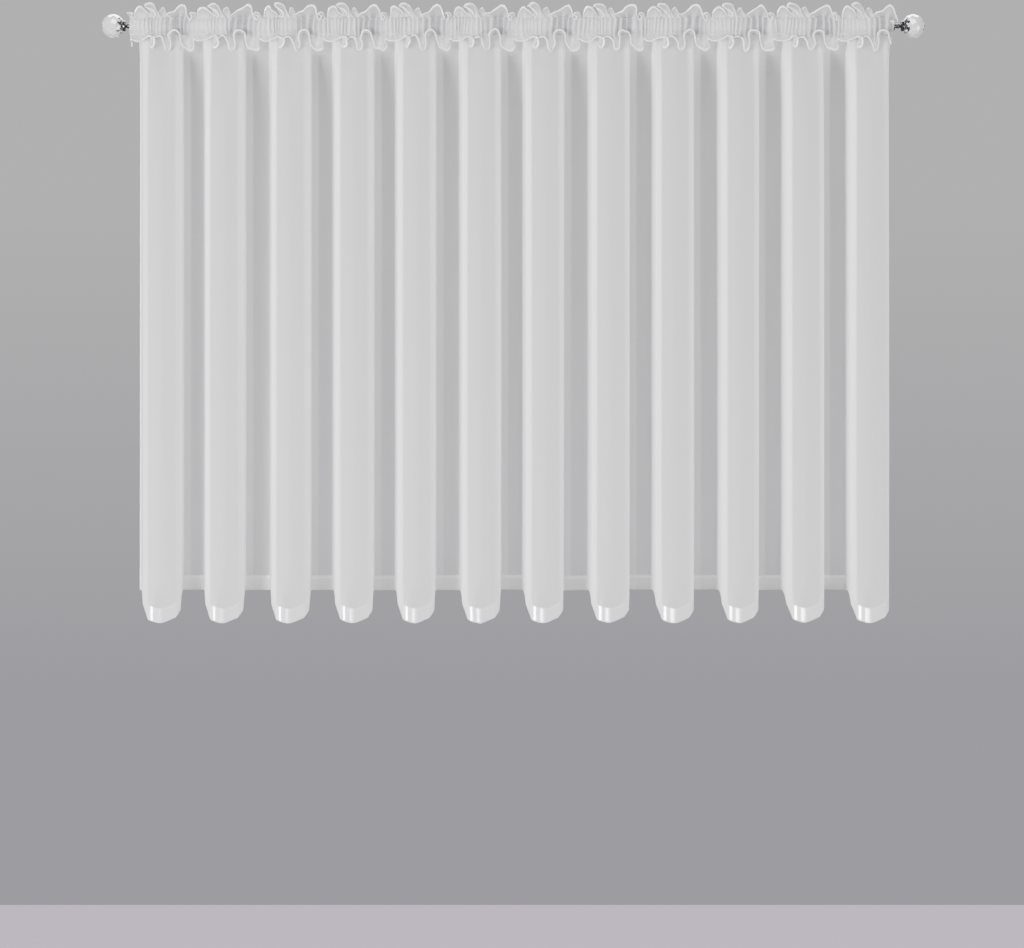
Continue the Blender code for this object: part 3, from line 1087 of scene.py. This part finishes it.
@dataclass
class HeadingFrill:
    """The gathered strip: pleated over the rod, its free edges opening into loops above and below."""

    plan: PlanLine
    columns_per_fold: int = 150
    left_overhang: float = 0.0240
    right_overhang: float = 0.1150
    seam_y: float = -0.0042
    rod_y: float = -0.0225
    seam_pleat: float = 0.0054
    rod_pleat: float = 0.0074
    pleat_lean: float = 0.0017
    pleats_per_fold: int = 14
    pleat_swing: float = 0.30
    open_deepening: float = 0.40
    jitter: float = 0.0022
    roll_radius: float = 0.0015
    bulge: float = 0.0030
    flat_length: float = 3.77
    flat_width: float = 0.120
    cover: float = 0.18
    pocket_cover: float = 0.84
    slanted_cover: float = 0.48
    flounce_shade: float = 0.30
    closed_shade: float = 0.12
    open_place: float = 0.66
    open_width: float = 0.17
    open_cover: float = 0.45
    points: np.ndarray = field(init=False)
    seam_rows: tuple[int, int] = field(init=False)

    def edge(self, table: tuple[EdgePoint, ...], seed: int) -> np.ndarray:
        """One free edge, every fold's loops a little different.

        Args:
            table: The edge's points within a fold.
            seed: The seed of the small differences.

        Returns:
            Points (columns, 3) along the whole edge, evenly spaced within each fold.
        """
        rng = np.random.default_rng(SEED + seed)
        sides = self.plan.left_sides()
        pitch = np.diff(sides)
        base = np.array([(point.x, point.y, point.z) for point in table])
        parts = []
        for side, width in zip(np.append(sides[0] - pitch[0], sides[:-1]), np.append(pitch[0], pitch)):
            knots = base + rng.normal(0.0, self.jitter, base.shape) * (0.6, 0.5, 0.6)
            knots[[0, -1]] = base[[0, -1]]
            knots[:, 0] = side + knots[:, 0] * width / pitch.mean()
            parts.append(closed_curve(knots, width, self.columns_per_fold))
        line = np.concatenate(parts)
        window = np.hanning(7)[1:-1]
        window /= window.sum()
        soft = np.stack([np.convolve(line[:, axis], window, mode="same") for axis in range(3)], axis=-1)
        soft[:3], soft[-3:] = line[:3], line[-3:]
        return soft

    def grid(self) -> tuple[np.ndarray, dict[str, np.ndarray]]:
        """The strip's points and what its finish reads.

        Returns:
            Points (rows, columns, 3) from the upper roll down to the lower one, and the named numbers.
        """
        upper = self.edge(UPPER_EDGE, 2)
        lower = self.edge(LOWER_EDGE, 3)
        count = len(upper)
        sides = self.plan.left_sides()
        start = sides[0] - np.diff(sides)[0]
        fold_at = np.arange(count) / self.columns_per_fold
        seam_x = np.interp(fold_at, np.arange(len(sides) + 1), np.concatenate([[start], sides])) - 0.010
        keep = (seam_x > sides[0] - self.left_overhang) & (seam_x < sides[-2] + self.right_overhang)
        phase, pleat = self.pleats(fold_at)
        lean = self.pleat_lean * np.sin(phase)
        seam_y = self.seam_y - self.seam_pleat * pleat
        slip = 0.004 * slow_noise(np.random.default_rng(SEED + 6), fold_at, 0.12)
        high = np.stack([seam_x + lean, seam_y, np.full(count, UPPER_SEAM_Z)], axis=-1)
        low = np.stack([seam_x + lean + slip, seam_y, np.full(count, LOWER_SEAM_Z)], axis=-1)
        shares = np.concatenate([np.linspace(0.0, 0.86, 8), [0.93, 1.0]])
        top = self.flounce(high, upper, shares[::-1])
        bottom = self.flounce(low, lower, shares)
        turns = FRILL_ROLL_TURNS
        upper_roll = rolled_edge(top[0], top[1] - top[0], self.roll_radius, turns)[::-1]
        lower_roll = rolled_edge(bottom[-1], bottom[-2] - bottom[-1], self.roll_radius, turns)
        pocket = self.pocket(high, low, pleat)
        points = np.concatenate([upper_roll, top, pocket, bottom, lower_roll])[:, keep]
        self.seam_rows = (len(upper_roll) + len(top) - 1, len(upper_roll) + len(top) + len(pocket))
        rolled = np.zeros(len(turns))
        gathered = np.concatenate([rolled, 1.0 - shares[::-1], np.ones(len(pocket)), 1.0 - shares, rolled])
        return points, self.looks(points, gathered[:, None], pleat[keep], fold_at[keep])

    def looks(
        self, points: np.ndarray, gathered: np.ndarray, pleat: np.ndarray, fold_at: np.ndarray
    ) -> dict[str, np.ndarray]:
        """What the finish reads: the cover, painted shade in the creases, and satin and painted light on the
        rolled edges.

        Args:
            points: The strip's points (rows, columns, 3).
            gathered: For each row, 1 in the pocket down to 0 at the free edges.
            pleat: Each column's height as a share of a full pleat.
            fold_at: Where each column lies, counted in folds.

        Returns:
            The named numbers: valleys between pleats and cloth that lies behind get painted shade, most of
                all
            where each fold's gathers stand open.
        """
        opened = self.opened(fold_at)
        pocket_cover = self.pocket_cover + (self.open_cover - self.pocket_cover) * opened
        facing = self.cover + (pocket_cover - self.cover) * gathered
        cover = slanted_cover(points, facing, np.maximum(facing, self.slanted_cover), 0.12)
        # Painted shade: greyed valleys between pleats, most where the gathers stand open, and greyed cloth
        # that lies further back.
        valley = np.clip(1.0 - pleat / 0.6, 0.0, 1.0) * (0.30 + 0.70 * opened)
        pocket_shade = np.clip(valley + self.closed_shade + 0.06 * opened, 0.0, 1.0)
        behind = 0.7 * smooth_step((points[..., 1] - 0.001) / 0.010)
        painted_shade = np.maximum(self.flounce_shade + (pocket_shade - self.flounce_shade) * gathered, behind)
        # Painted light with satin gloss on the rolled edges, half as much where they lie further back.
        edge = np.zeros_like(cover)
        rim = len(FRILL_ROLL_TURNS) + 2
        edge[:rim] = 1.0
        edge[-rim:] = 1.0
        cover = np.maximum(cover, ROLL_COVER * edge)
        return {"cover": cover, "painted_shade": painted_shade, "satin_and_painted_light": 0.6 * edge * (1.0 - 0.5 * behind)}

    def opened(self, fold_at: np.ndarray) -> np.ndarray:
        """How far the gathers stand open: 1 at one place in each fold, dying out to both sides."""
        return np.exp(-(((fold_at % 1.0 - self.open_place) / self.open_width) ** 2))

    def pleats(self, fold_at: np.ndarray) -> tuple[np.ndarray, np.ndarray]:
        """The small uneven pleats that the gathering draws up.

        Args:
            fold_at: Where each column lies, counted in folds.

        Returns:
            The phase of the pleats in radians, and each column's height as a share of a full pleat.
        """
        rng = np.random.default_rng(SEED + 4)
        swing = self.pleat_swing / math.tau * np.sin(math.tau * (fold_at - self.open_place))
        phase = math.tau * self.pleats_per_fold * (fold_at - swing + 0.020 * slow_noise(rng, fold_at, 0.13))
        uneven = 0.64 + 0.50 * slow_noise(rng, fold_at, 0.083)
        height = uneven * (1.0 + self.open_deepening * self.opened(fold_at))
        return phase, height * (0.5 - 0.5 * np.cos(phase))

    def flounce(self, seam: np.ndarray, edge: np.ndarray, share: np.ndarray) -> np.ndarray:
        """The free cloth between a seam and an edge: straight across, bellied a little to the room.

        Args:
            seam: The seam's points (columns, 3).
            edge: The free edge's points (columns, 3).
            share: For each row, how far from the seam to the edge it lies.

        Returns:
            Points (rows, columns, 3).
        """
        share = share[:, None, None]
        belly = np.array([0.0, -self.bulge, 0.0]) * np.sin(math.pi * share)
        return seam * (1.0 - share) + edge * share + belly

    def pocket(self, high: np.ndarray, low: np.ndarray, pleat: np.ndarray) -> np.ndarray:
        """The cloth over the rod: a round of the rod's front between the seams, raised in pleats.

        Args:
            high: The upper seam's points (columns, 3).
            low: The lower seam's points.
            pleat: Each column's height as a share of a full pleat.

        Returns:
            Points (rows, columns, 3) between the seams.
        """
        share = np.linspace(0.0, 1.0, 12)[1:-1][:, None]
        line = high * (1.0 - share[..., None]) + low * share[..., None]
        front = np.sqrt(np.sin(math.pi * share))
        raised = self.seam_pleat * (1.0 - front) + self.rod_pleat * front
        line[..., 1] = self.seam_y + (self.rod_y - self.seam_y) * front - raised * pleat
        return line

    def build(self) -> bpy.types.Object:
        """Builds the frill as one grid.

        Returns:
            The frill, with its rolled edges.
        """
        points, values = self.grid()
        self.points = points
        steps = np.linalg.norm(np.diff(points, axis=0), axis=-1).mean(axis=1)
        down = np.concatenate([[0.0], np.cumsum(steps)])
        along = np.linspace(0.0, self.flat_length, points.shape[1])
        uv = np.stack(np.broadcast_arrays(along[None, :], -down[:, None]), axis=-1)
        return sheet_object("heading_frill_cloth", points, uv, values)


@dataclass
class GatheringTape:
    """The strip behind the rod, bowed back in small pleats between the two seams."""

    half_width: float = 0.9090
    top_z: float = 0.0210
    bottom_z: float = -0.0228
    seam_y: float = 0.0009
    rod_y: float = 0.0178
    pleats: int = 64
    pleat_depth: float = 0.0030
    columns_per_pleat: int = 12
    flat_length: float = 2.35
    flat_width: float = 0.056
    cover: float = 0.90

    def build(self) -> bpy.types.Object:
        """Builds the tape: bowed round behind the rod, and pleated by a sine along its length.

        Returns:
            The tape.
        """
        count = self.pleats * self.columns_per_pleat + 1
        along = np.linspace(0.0, 1.0, count)
        rng = np.random.default_rng(SEED + 5)
        phase = math.tau * (along * self.pleats + 0.5 * slow_noise(rng, along, 0.02))
        pleat = (0.5 - 0.5 * np.cos(phase)) * (0.7 + 0.3 * slow_noise(rng, along, 0.015))
        share = np.linspace(0.0, 1.0, 15)[:, None]
        bow = np.sin(math.pi * share) ** 0.6
        y = self.seam_y + (self.rod_y - self.seam_y) * bow + self.pleat_depth * pleat * bow
        x = (along * 2.0 - 1.0) * self.half_width + CLOTH_SHIFT_X + 0.0022 * np.sin(phase) * bow
        z = self.top_z + (self.bottom_z - self.top_z) * share
        points = np.stack(np.broadcast_arrays(x, y, z), axis=-1)
        uv = np.stack(np.broadcast_arrays(along * self.flat_length, -share * self.flat_width), axis=-1)
        cover = np.full(points.shape[:2], self.cover)
        return sheet_object("gathering_tape_cloth", points, uv, {"cover": cover})


@dataclass
class Stitching:
    """A row of machine stitches: small rounded threads lying along a line of the cloth."""

    pitch: float = 0.0040
    length: float = 0.0028
    radius: float = 0.00034
    lift: float = 0.0002
    thread_sides: int = 6

    def build(self, name: str, line: np.ndarray, normal: np.ndarray) -> bpy.types.Object:
        """Builds the stitches of one seam.

        Args:
            name: The piece's name.
            line: Points (n, 3) along the seam.
            normal: For each, the way out of the cloth towards the room.

        Returns:
            One mesh of all the stitches, each a closed spindle of six sides.
        """
        along = np.concatenate([[0.0], np.cumsum(np.linalg.norm(np.diff(line, axis=0), axis=1))])
        centre = np.arange(self.pitch, along[-1] - self.pitch, self.pitch)
        start, middle, stop = (
            np.stack([np.interp(centre + step, along, line[:, axis]) for axis in range(3)], axis=-1)
            for step in (-0.5 * self.length, 0.0, 0.5 * self.length)
        )
        out = unit(np.stack([np.interp(centre, along, normal[:, axis]) for axis in range(3)], axis=-1))
        side = np.cross(unit(stop - start), out)
        angle = np.linspace(0.0, math.tau, self.thread_sides, endpoint=False)
        profile = ((-0.5, 0.15, 0.0), (-0.32, 0.9, 0.8), (0.0, 1.0, 1.0), (0.32, 0.9, 0.8), (0.5, 0.15, 0.0))
        rings = []
        for place, width, rise in profile:
            heart = middle + (stop - start) * place + out * self.lift * rise
            ring = out[:, None] * np.cos(angle)[None, :, None] + side[:, None] * np.sin(angle)[None, :, None]
            rings.append(heart[:, None] + ring * self.radius * width)
        points = np.stack(rings, axis=1)
        count, ring_count, sides = points.shape[:3]
        index = np.arange(count * ring_count * sides).reshape(count, ring_count, sides)
        ahead = np.roll(index, -1, axis=2)
        quads = np.stack([index[:, :-1], ahead[:, :-1], ahead[:, 1:], index[:, 1:]], axis=-1).reshape(-1, 4)
        faces = quads.tolist() + index[:, 0, ::-1].tolist() + index[:, -1].tolist()
        flat = points.reshape(-1, 3)
        return mesh_object(name, flat, faces, flat[:, [0, 2]], {"cover": np.ones(len(flat))})


@dataclass
class Finial:
    """A turned neck with a collar, a bead and a disc, and the cut ball that it carries."""

    side: int
    end: str
    rod_half_length: float = 0.9215
    seat: float = 0.0003
    ball_radius: float = 0.0286
    ball_flat: float = 0.0225
    facets_round: int = 12
    facet_rows: int = 9
    first_facet_angle: float = 17.0
    neck_sides: int = 72
    neck: tuple[NeckRing, ...] = (
        NeckRing(0.0000, 0.0004),
        NeckRing(0.0000, 0.0096),
        NeckRing(0.0005, 0.0101),
        NeckRing(0.0018, 0.0101),
        NeckRing(0.0022, 0.0098),
        NeckRing(0.0030, 0.0052),
        NeckRing(0.0052, 0.0048),
        NeckRing(0.0062, 0.0058),
        NeckRing(0.0074, 0.0064),
        NeckRing(0.0090, 0.0066),
        NeckRing(0.0106, 0.0064),
        NeckRing(0.0118, 0.0058),
        NeckRing(0.0127, 0.0048),
        NeckRing(0.0158, 0.0046),
        NeckRing(0.0164, 0.0124),
        NeckRing(0.0169, 0.0131),
        NeckRing(0.0228, 0.0132),
        NeckRing(0.0234, 0.0128),
        NeckRing(0.0240, 0.0116),
        NeckRing(0.0240, 0.0004),
    )

    def turned(
        self, name: str, rings: np.ndarray, sides: int, shift: float, smooth: bool
    ) -> bpy.types.Object:
        """A closed turned shape.

        Args:
            name: The piece's name.
            rings: The distance out from the curtain's middle and the radius of each ring.
            sides: How many points each ring has.
            shift: How far each ring is turned from the last, as a share of one side.
            smooth: Whether it shades smoothly.

        Returns:
            The object: ring by ring, each point is out along X and round by its angle.
        """
        place = np.arange(sides)[None, :] + 0.5 + shift * np.arange(len(rings))[:, None]
        angle = math.tau * place / sides * self.side
        out, radius = rings[:, :1], rings[:, 1:]
        x = np.broadcast_to(self.side * out, angle.shape)
        points = np.stack([x, radius * np.cos(angle), radius * np.sin(angle)], axis=-1)
        index = np.arange(angle.size).reshape(angle.shape)
        ahead = np.roll(index, -1, axis=1)
        near, near_next, far, far_next = index[:-1], ahead[:-1], index[1:], ahead[1:]
        if shift:
            corners = (np.stack([near, near_next, far], -1), np.stack([near_next, far_next, far], -1))
        else:
            corners = (np.stack([near, near_next, far_next, far], -1),)
        faces = [face for group in corners for face in group.reshape(-1, group.shape[-1]).tolist()]
        faces += [index[0, ::-1].tolist(), index[-1].tolist()]
        obj = mesh_object(name, points.reshape(-1, 3), faces, smooth=smooth)
        if smooth:
            obj.data.set_sharp_from_angle(angle=math.radians(50.0))
        return obj

    def build_neck(self) -> bpy.types.Object:
        """Builds the neck, its rings set out from the rod's end.

        Returns:
            The neck.
        """
        start = self.rod_half_length + self.seat
        rings = np.array([(start + ring.out, ring.radius) for ring in self.neck])
        return self.turned("turned_neck_" + self.end, rings, self.neck_sides, 0.0, True)

    def build_ball(self) -> bpy.types.Object:
        """Builds the ball from rings of points on a sphere, each turned half a facet from the last.

        Returns:
            The ball, flat where it meets the neck and at its far end.
        """
        centre = self.rod_half_length + 2.0 * self.seat + self.neck[-1].out + self.ball_flat
        last = math.degrees(math.acos(-self.ball_flat / self.ball_radius))
        angle = np.radians(np.linspace(self.first_facet_angle, last, self.facet_rows))
        out = centre + self.ball_radius * np.cos(angle)
        rings = np.stack([out, self.ball_radius * np.sin(angle)], axis=-1)
        return self.turned("cut_ball_" + self.end, rings, self.facets_round, 0.5, False)


@dataclass
class Studio:
    """The stage: a pale floor, a plain grey backdrop, soft lights and the camera."""

    distance: float = 12.0
    backdrop_y: float = 16.0
    frame_width: int = 1024
    frame_height: int = 948
    eye_px: tuple[float, float] = (503.0, 443.0)
    rod_centre_px: tuple[float, float] = (513.25, 26.0)
    floor_px: float = 905.0
    sensor: float = 36.0
    aim_z: float = -0.7
    lamp_distance: float = 7.0

    def eye(self) -> Vector:
        """Where the camera stands: level, and as high as the photograph's horizon is taken to be.

        Returns:
            Its place in metres.
        """
        x = (self.eye_px[0] - self.rod_centre_px[0]) * PIXEL
        z = (self.rod_centre_px[1] - self.eye_px[1]) * PIXEL
        return Vector((x, -self.distance, z))

    def camera(self) -> None:
        """Makes the camera: it looks straight at the curtain, with just the shift that the framing needs."""
        data = bpy.data.cameras.new("camera")
        data.sensor_width = self.sensor
        data.lens = self.sensor * self.distance / (self.frame_width * PIXEL)
        data.shift_x = (0.5 * self.frame_width - self.eye_px[0]) / self.frame_width
        data.shift_y = -(0.5 * self.frame_height - self.eye_px[1]) / self.frame_width
        data.clip_start, data.clip_end = 0.1, 200.0
        obj = bpy.data.objects.new("camera", data)
        obj.location = self.eye()
        obj.rotation_euler = (math.radians(90.0), 0.0, 0.0)
        bpy.context.scene.collection.objects.link(obj)
        bpy.context.scene.camera = obj

    def plane(self, name: str, corners: Sequence[Sequence[float]], finish: GlowFinish) -> None:
        """Adds a flat part of the stage.

        Args:
            name: Its name.
            corners: Its four corners in order.
            finish: Its finish.
        """
        obj = mesh_object(name, np.array(corners), [[0, 1, 2, 3]])
        obj.data.materials.append(finish.build())

    def stage(self) -> None:
        """Lays the floor and stands the backdrop on it, where the photograph's floor line is."""
        drop = (self.floor_px - self.eye_px[1]) * PIXEL * (self.distance + self.backdrop_y) / self.distance
        z = self.eye().z - drop
        far, wide = self.backdrop_y, 45.0
        floor = GlowFinish("pale_floor", "Y", 4.0, 12.0, (0.30, 0.30, 0.30), (0.78, 0.63, 0.81))
        wall = GlowFinish("grey_backdrop", "Z", -2.4, 0.4, (0.346, 0.339, 0.380), (0.555, 0.555, 0.560))
        self.plane("floor", ((-wide, -wide, z), (wide, -wide, z), (wide, far, z), (-wide, far, z)), floor)
        self.plane("backdrop", ((-wide, far, z), (wide, far, z), (wide, far, 30.0), (-wide, far, 30.0)), wall)

    def lamp(self, name: str, azimuth: float, elevation: float, size: float, power: float) -> None:
        """A large soft square light aimed at the curtain's middle.

        Args:
            name: The light's name.
            azimuth: How far round to the right it stands from straight in front, in degrees.
            elevation: How high it stands, in degrees.
            size: The side of the square in metres.
            power: Its power in watts.
        """
        data = bpy.data.lights.new(name, "AREA")
        data.shape = "SQUARE"
        data.size, data.energy = size, power
        round_by, up = math.radians(azimuth), math.radians(elevation)
        way = Vector((math.sin(round_by) * math.cos(up), -math.cos(round_by) * math.cos(up), math.sin(up)))
        obj = bpy.data.objects.new(name, data)
        obj.location = Vector((0.0, 0.0, self.aim_z)) + self.lamp_distance * way
        obj.rotation_euler = (-way).to_track_quat("-Z", "Y").to_euler()
        bpy.context.scene.collection.objects.link(obj)

    def light(self) -> None:
        """Lights the curtain: most from the left, less from the right and above, and from behind."""
        self.lamp("key", -42.0, -4.0, 3.0, 1150.0)
        self.lamp("fill", 50.0, -4.0, 3.0, 480.0)
        self.lamp("top", 0.0, 60.0, 3.6, 290.0)
        self.lamp("back", 180.0, 50.0, 6.0, 900.0)
        world = bpy.data.worlds.new("soft_room")
        world.use_nodes = True
        world.node_tree.nodes["Background"].inputs["Color"].default_value = (0.98, 0.98, 1.0, 1.0)
        world.node_tree.nodes["Background"].inputs["Strength"].default_value = 0.50
        bpy.context.scene.world = world


def dress(piece: bpy.types.Object, material: bpy.types.Material, slot: Slot, *replaced: str) -> None:
    """Gives a piece its finish and its body, hides the solids that it stands for, and logs it.

    Args:
        piece: The piece.
        material: Its finish.
        slot: The material slot that it belongs to; not used.
        replaced: The nodes of the solids that it stands for.
    """
    piece.data.materials.clear()
    piece.data.materials.append(material)
    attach(piece, BODY)
    if replaced:
        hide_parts(*replaced)
    report(piece)


def refinish(node: str, material: bpy.types.Material) -> None:
    """Gives a solid that stays its new finish."""
    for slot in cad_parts[node].material_slots:
        slot.material = material


def main() -> None:
    """Builds the curtain piece by piece, then the stage."""
    logging.basicConfig(level=logging.INFO, format="%(message)s")
    voile, thread = VOILE.build(), THREAD.build()
    plan = PlanLine()

    panel = VoilePanel(plan)
    cloth = panel.build()
    dress(cloth, voile, Slot.VOILE, "voile_panel")
    hem_stitches = Stitching().build("hem_stitches", *panel.hem_line())
    dress(hem_stitches, thread, Slot.VOILE)

    frill = HeadingFrill(plan)
    strip = frill.build()
    dress(strip, FRILL_VOILE.build(), Slot.VOILE, "heading_frill")
    normals = grid_normals(frill.points)
    for name, row in zip(("upper", "lower"), frill.seam_rows):
        seam = Stitching().build(name + "_seam_stitches", frill.points[row], normals[row])
        dress(seam, thread, Slot.VOILE)

    tape = GatheringTape()
    strap = tape.build()
    dress(strap, TAPE_WEAVE.build(), Slot.TAPE, "gathering_tape")

    black, crystal = BLACK_NICKEL.build(), CRYSTAL.build()
    refinish("rod", NICKEL.build())
    for side, end in ((-1, "left"), (1, "right")):
        finial = Finial(side, end)
        dress(finial.build_neck(), black, Slot.STEEL, "finial_neck_" + end)
        dress(finial.build_ball(), crystal, Slot.GLASS, "finial_ball_" + end)

    studio = Studio()
    studio.stage()
    studio.light()
    studio.camera()


if __name__ == "__main__":
    main()
